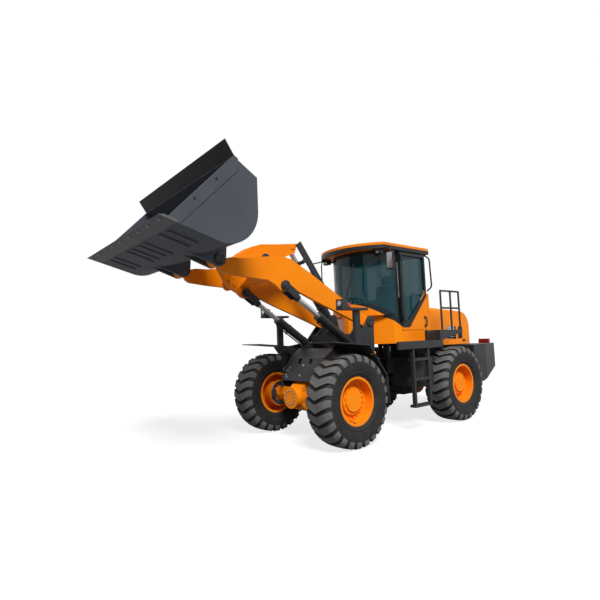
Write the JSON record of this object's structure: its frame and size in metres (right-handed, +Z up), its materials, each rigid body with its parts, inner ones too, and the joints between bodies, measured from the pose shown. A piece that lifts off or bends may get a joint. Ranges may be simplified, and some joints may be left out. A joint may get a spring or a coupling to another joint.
{
  "type": "wheel loader",
  "caption": "Articulated wheel loader with a glazed cab, a lift boom on twin cylinders, a single tilt lever and a wide earth bucket.",
  "frame": {"origin": "middle of the machine's box on the ground", "axes": "+X forward to the bucket, +Y to the driver's left, +Z up"},
  "size_m": [7.5498, 2.6, 3.8242],
  "materials": {
    "body_paint": "glossy orange machine paint",
    "frame_paint": "semi-gloss dark grey machine paint",
    "black_paint": "satin black paint",
    "edge_steel": "worn blade steel",
    "rod_chrome": "polished hard chrome",
    "cab_glazing": "tinted safety glass",
    "seat_cloth": "dark woven cloth",
    "cab_plastic": "grained black plastic",
    "lamp_plastic": "clear lamp lens",
    "lamp_red": "clear red lens",
    "tyre_rubber": "matt tread rubber"
  },
  "bodies": {
    "chassis": {"rear_frame": "frame_paint", "counterweight": "frame_paint", "rear_axle": "body_paint", "engine": "frame_paint", "rear_shaft": "frame_paint", "fuel_tank": "black_paint", "platforms": "frame_paint", "ladders": "frame_paint", "rear_fenders": "black_paint", "handrails": "black_paint", "cab_base": "body_paint", "cab_frame": "black_paint", "cab_roof": "body_paint", "cab_glass": "cab_glazing", "seat": "seat_cloth", "console": "cab_plastic", "mirrors": "cab_plastic", "roof_lamps": "cab_plastic", "rear_lamps": "lamp_red"},
    "front_unit": {"front_frame": "frame_paint", "front_axle": "body_paint", "front_shaft": "frame_paint", "front_fenders": "frame_paint", "headlamps": "lamp_plastic"},
    "boom": {"boom": "body_paint"},
    "bell_crank": {"bell_crank": "body_paint"},
    "bucket_link": {"bucket_link": "body_paint"},
    "bucket": {"bucket": "frame_paint", "cutting_edge": "edge_steel", "spill_guard": "black_paint"},
    "tilt_barrel": {"tilt_barrel": "frame_paint"},
    "tilt_rod": {"tilt_rod": "rod_chrome", "leveller": "body_paint"},
    "door": {"door": "body_paint", "door_glass": "cab_glazing"},
    "hood": {"hood": "body_paint", "hood_grilles": "black_paint", "exhaust": "black_paint"},
    "lift_barrel_left": {"lift_barrel_left": "frame_paint"},
    "lift_rod_left": {"lift_rod_left": "rod_chrome"},
    "steer_barrel_left": {"steer_barrel_left": "frame_paint"},
    "steer_rod_left": {"steer_rod_left": "rod_chrome"},
    "lift_barrel_right": {"lift_barrel_right": "frame_paint"},
    "lift_rod_right": {"lift_rod_right": "rod_chrome"},
    "steer_barrel_right": {"steer_barrel_right": "frame_paint"},
    "steer_rod_right": {"steer_rod_right": "rod_chrome"},
    "wheel_front_left": {"tyre_front_left": "tyre_rubber", "rim_front_left": "body_paint"},
    "wheel_front_right": {"tyre_front_right": "tyre_rubber", "rim_front_right": "body_paint"},
    "wheel_rear_left": {"tyre_rear_left": "tyre_rubber", "rim_rear_left": "body_paint"},
    "wheel_rear_right": {"tyre_rear_right": "tyre_rubber", "rim_rear_right": "body_paint"}
  },
  "joints": [
    {"name": "steering", "type": "hinge", "parent": "chassis", "child": "front_unit", "pos_m": [-0.57494, 0, 0.83], "axis": [0, 0, 1], "range_deg": [-35, 35]},
    {"name": "wheel_front_left_spin", "type": "hinge", "parent": "front_unit", "child": "wheel_front_left", "pos_m": [0.82506, 0.925, 0.665], "axis": [0, 1, 0], "continuous": true},
    {"name": "wheel_front_right_spin", "type": "hinge", "parent": "front_unit", "child": "wheel_front_right", "pos_m": [0.82506, -0.925, 0.665], "axis": [0, 1, 0], "continuous": true},
    {"name": "wheel_rear_left_spin", "type": "hinge", "parent": "chassis", "child": "wheel_rear_left", "pos_m": [-1.97494, 0.925, 0.665], "axis": [0, 1, 0], "continuous": true},
    {"name": "wheel_rear_right_spin", "type": "hinge", "parent": "chassis", "child": "wheel_rear_right", "pos_m": [-1.97494, -0.925, 0.665], "axis": [0, 1, 0], "continuous": true},
    {"name": "boom_lift", "type": "hinge", "parent": "front_unit", "child": "boom", "pos_m": [-0.11494, 0, 1.81], "axis": [0, -1, 0], "range_deg": [-50, 22]},
    {"name": "bucket_tilt", "type": "hinge", "parent": "boom", "child": "bucket", "pos_m": [2.69482, 0, 2.61569], "axis": [0, 1, 0], "range_deg": [-36, 70]},
    {"name": "crank_turn", "type": "hinge", "parent": "boom", "child": "bell_crank", "pos_m": [1.6347, 0, 2.77086], "axis": [0, 1, 0], "range_deg": [-24.05, 12.61]},
    {"name": "link_turn", "type": "hinge", "parent": "bucket", "child": "bucket_link", "pos_m": [2.47934, 0, 2.92529], "axis": [0, 1, 0], "range_deg": [-47.27, 24.55]},
    {"name": "lift_rod_left_turn", "type": "hinge", "parent": "boom", "child": "lift_rod_left", "pos_m": [1.59658, 0.5, 2.33118], "axis": [0, -1, 0], "range_deg": [-3.5, 1.82]},
    {"name": "lift_barrel_left_slide", "type": "slide", "parent": "lift_rod_left", "child": "lift_barrel_left", "axis": [-0.8338, 0, -0.5521], "range_m": [-0.4054, 0.1806]},
    {"name": "lift_rod_right_turn", "type": "hinge", "parent": "boom", "child": "lift_rod_right", "pos_m": [1.59658, -0.5, 2.33118], "axis": [0, -1, 0], "range_deg": [-3.5, 1.82]},
    {"name": "lift_barrel_right_slide", "type": "slide", "parent": "lift_rod_right", "child": "lift_barrel_right", "axis": [-0.8338, 0, -0.5521], "range_m": [-0.4054, 0.1806]},
    {"name": "tilt_barrel_turn", "type": "hinge", "parent": "front_unit", "child": "tilt_barrel", "pos_m": [0.22506, 0, 1.87], "axis": [0, -1, 0], "range_deg": [-62.74, 27.89]},
    {"name": "tilt_rod_slide", "type": "slide", "parent": "tilt_barrel", "child": "tilt_rod", "axis": [0.5915, 0, 0.8063], "range_m": [-0.1931, 0.1013]},
    {"name": "steer_barrel_left_turn", "type": "hinge", "parent": "chassis", "child": "steer_barrel_left", "pos_m": [-1.09494, 0.3, 0.83], "axis": [0, 0, 1], "range_deg": [-12.54, 12.54]},
    {"name": "steer_rod_left_slide", "type": "slide", "parent": "steer_barrel_left", "child": "steer_rod_left", "axis": [0.9981, -0.0609, 0], "range_m": [-0.1655, 0.1655]},
    {"name": "steer_barrel_right_turn", "type": "hinge", "parent": "chassis", "child": "steer_barrel_right", "pos_m": [-1.09494, -0.3, 0.83], "axis": [0, 0, 1], "range_deg": [-12.54, 12.54]},
    {"name": "steer_rod_right_slide", "type": "slide", "parent": "steer_barrel_right", "child": "steer_rod_right", "axis": [0.9981, 0.0609, 0], "range_m": [-0.1655, 0.1655]},
    {"name": "door_swing", "type": "hinge", "parent": "chassis", "child": "door", "pos_m": [-0.79594, 0.768, 2], "axis": [0, 0, -1], "range_deg": [0, 85]},
    {"name": "hood_lift", "type": "hinge", "parent": "chassis", "child": "hood", "pos_m": [-1.71694, 0, 1.995], "axis": [0, 1, 0], "range_deg": [0, 50]}
  ],
  "couplings": [
    {"joint": "crank_turn", "follows": "bucket_tilt", "ratio": -0.3365},
    {"joint": "link_turn", "follows": "bucket_tilt", "ratio": -0.6681},
    {"joint": "lift_rod_left_turn", "follows": "boom_lift", "ratio": 0.0601},
    {"joint": "lift_barrel_left_slide", "follows": "boom_lift", "m_per_rad": 0.46},
    {"joint": "lift_rod_right_turn", "follows": "boom_lift", "ratio": 0.0601},
    {"joint": "lift_barrel_right_slide", "follows": "boom_lift", "m_per_rad": 0.46},
    {"joint": "tilt_barrel_turn", "follows": "boom_lift", "ratio": 1.2449},
    {"joint": "tilt_rod_slide", "follows": "bucket_tilt", "m_per_rad": -0.1548},
    {"joint": "steer_barrel_left_turn", "follows": "steering", "ratio": 0.3467},
    {"joint": "steer_rod_left_slide", "follows": "steering", "m_per_rad": -0.2643},
    {"joint": "steer_barrel_right_turn", "follows": "steering", "ratio": 0.3467},
    {"joint": "steer_rod_right_slide", "follows": "steering", "m_per_rad": 0.2643}
  ]
}
